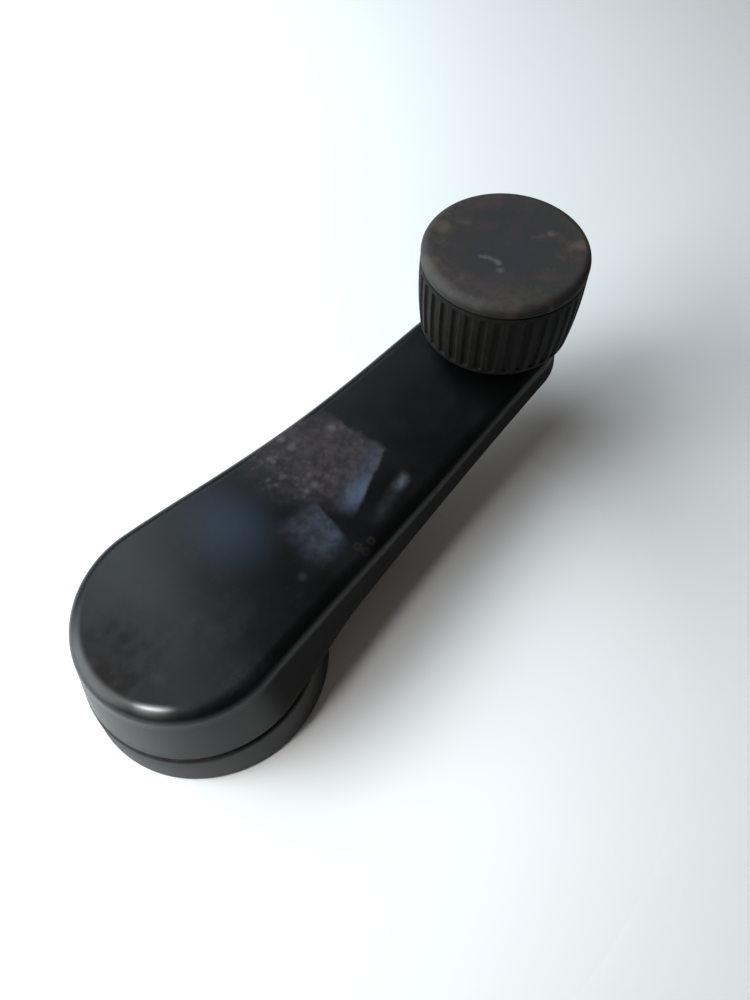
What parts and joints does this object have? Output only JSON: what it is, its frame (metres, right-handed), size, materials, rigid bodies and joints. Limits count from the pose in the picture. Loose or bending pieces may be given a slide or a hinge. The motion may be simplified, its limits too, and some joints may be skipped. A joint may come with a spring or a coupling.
{
  "type": "car window crank handle",
  "caption": "Moulded window winder arm with a spinning ribbed knob, a splined hub held by a spring clip, and a round base ring.",
  "frame": {"origin": "on the crank's turning axis, in the plane of the door trim that the base seats on", "axes": "+Z away from the door along the turning axis, +X from the turning axis towards the knob"},
  "size_m": [0.1245, 0.047, 0.0471],
  "materials": {
    "satin_black_plastic": "satin moulded black plastic with dust and fine scuffs",
    "worn_grey_plastic": "matt dark grey plastic, dusty and rubbed pale on top",
    "matt_black_plastic": "fine-textured matt black plastic",
    "white_plastic": "natural off-white bearing plastic",
    "zinc_alloy": "die-cast zinc alloy, dull grey",
    "bright_steel": "turned steel, zinc plated",
    "spring_steel": "hardened spring steel, lightly oiled",
    "grey_felt": "pressed felt"
  },
  "bodies": {
    "base": {"base_ring": "matt_black_plastic", "anti_rattle_pad": "grey_felt"},
    "crank": {"crank_arm": "satin_black_plastic", "splined_insert": "zinc_alloy", "knob_spindle": "bright_steel", "backing_washer": "bright_steel", "thrust_washer": "white_plastic", "wave_washer": "spring_steel", "spindle_retainer": "spring_steel"},
    "knob": {"knob_barrel": "worn_grey_plastic", "knob_cap": "worn_grey_plastic", "knob_bush": "white_plastic"},
    "clip": {"retaining_clip": "spring_steel"}
  },
  "joints": [
    {"name": "crank_turn", "type": "hinge", "parent": "base", "child": "crank", "pos_m": [0, 0, 0], "axis": [0, 0, 1], "continuous": true},
    {"name": "knob_spin", "type": "hinge", "parent": "crank", "child": "knob", "pos_m": [0.085, 0, 0.0281], "axis": [0, 0, 1], "continuous": true},
    {"name": "clip_release", "type": "slide", "parent": "crank", "child": "clip", "axis": [-1, 0, 0], "range_m": [0, 0.003]}
  ]
}
